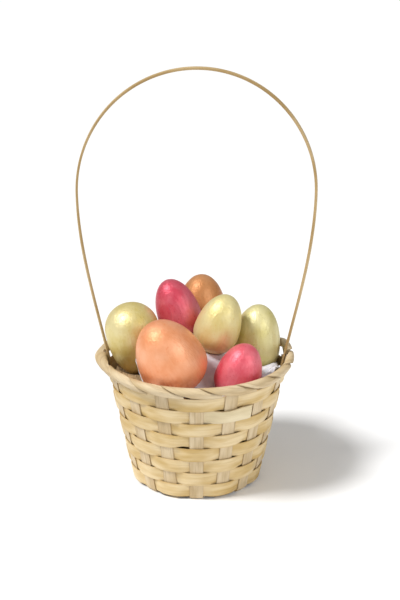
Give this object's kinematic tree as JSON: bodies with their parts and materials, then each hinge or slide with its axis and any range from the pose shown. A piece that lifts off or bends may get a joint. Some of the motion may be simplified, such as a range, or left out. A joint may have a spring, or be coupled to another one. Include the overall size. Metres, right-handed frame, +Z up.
{
  "type": "easter basket",
  "caption": "Round basket woven from flat bamboo strips with a tall fixed bentwood handle, holding pearl-painted eggs on a white napkin.",
  "frame": {"origin": "middle of the base, on the surface that the basket stands on", "axes": "+Z up, +X along the handle's arch towards its right-hand end, -Y the front"},
  "size_m": [0.224, 0.1894, 0.402],
  "materials": {
    "stake_bamboo": "dry split bamboo, slightly grey",
    "weaver_bamboo": "dry split bamboo, light straw",
    "handle_bamboo": "bent bamboo splint, tan",
    "napkin_cloth": "thin soft white cloth",
    "wadding_paper": "loose shredded kraft paper, mostly air",
    "pearl_peach": "pearl paint on eggshell, peach orange",
    "pearl_raspberry": "pearl paint on eggshell, raspberry pink",
    "pearl_olive": "pearl paint on eggshell, olive yellow",
    "pearl_pale_yellow": "pearl paint on eggshell, pale yellow",
    "pearl_terracotta": "pearl paint on eggshell, terracotta orange"
  },
  "bodies": {
    "basket": {"stake_1": "stake_bamboo", "stake_2": "stake_bamboo", "stake_3": "stake_bamboo", "stake_4": "stake_bamboo", "stake_5": "stake_bamboo", "stake_6": "stake_bamboo", "stake_7": "stake_bamboo", "stake_8": "stake_bamboo", "weaver_row_1": "weaver_bamboo", "weaver_row_2": "weaver_bamboo", "weaver_row_3": "weaver_bamboo", "weaver_row_4": "weaver_bamboo", "weaver_row_5": "weaver_bamboo", "weaver_row_6": "weaver_bamboo", "weaver_row_7": "weaver_bamboo", "weaver_row_8": "weaver_bamboo", "handle": "handle_bamboo"},
    "lining": {"napkin": "napkin_cloth", "wadding": "wadding_paper"},
    "egg_orange_front": {"egg_orange_front": "pearl_peach"},
    "egg_pink_front": {"egg_pink_front": "pearl_raspberry"},
    "egg_olive_left": {"egg_olive_left": "pearl_olive"},
    "egg_olive_right": {"egg_olive_right": "pearl_olive"},
    "egg_pale_yellow": {"egg_pale_yellow": "pearl_pale_yellow"},
    "egg_pink_back": {"egg_pink_back": "pearl_raspberry"},
    "egg_orange_back": {"egg_orange_back": "pearl_terracotta"}
  },
  "joints": [
    {"name": "lining_lift", "type": "slide", "parent": "basket", "child": "lining", "axis": [0, 0, 1], "range_m": [0, 0.126]},
    {"name": "egg_orange_front_lift", "type": "slide", "parent": "lining", "child": "egg_orange_front", "axis": [0, 0, 1], "range_m": [0, 0.036]},
    {"name": "egg_pink_front_lift", "type": "slide", "parent": "lining", "child": "egg_pink_front", "axis": [0, 0, 1], "range_m": [0, 0.036]},
    {"name": "egg_olive_left_lift", "type": "slide", "parent": "lining", "child": "egg_olive_left", "axis": [0, 0, 1], "range_m": [0, 0.036]},
    {"name": "egg_olive_right_lift", "type": "slide", "parent": "lining", "child": "egg_olive_right", "axis": [0, 0, 1], "range_m": [0, 0.036]},
    {"name": "egg_pale_yellow_lift", "type": "slide", "parent": "egg_olive_right", "child": "egg_pale_yellow", "axis": [0, 0, 1], "range_m": [0, 0.036]},
    {"name": "egg_pink_back_lift", "type": "slide", "parent": "lining", "child": "egg_pink_back", "axis": [0, 0, 1], "range_m": [0, 0.036]},
    {"name": "egg_orange_back_lift", "type": "slide", "parent": "lining", "child": "egg_orange_back", "axis": [0, 0, 1], "range_m": [0, 0.036]}
  ]
}
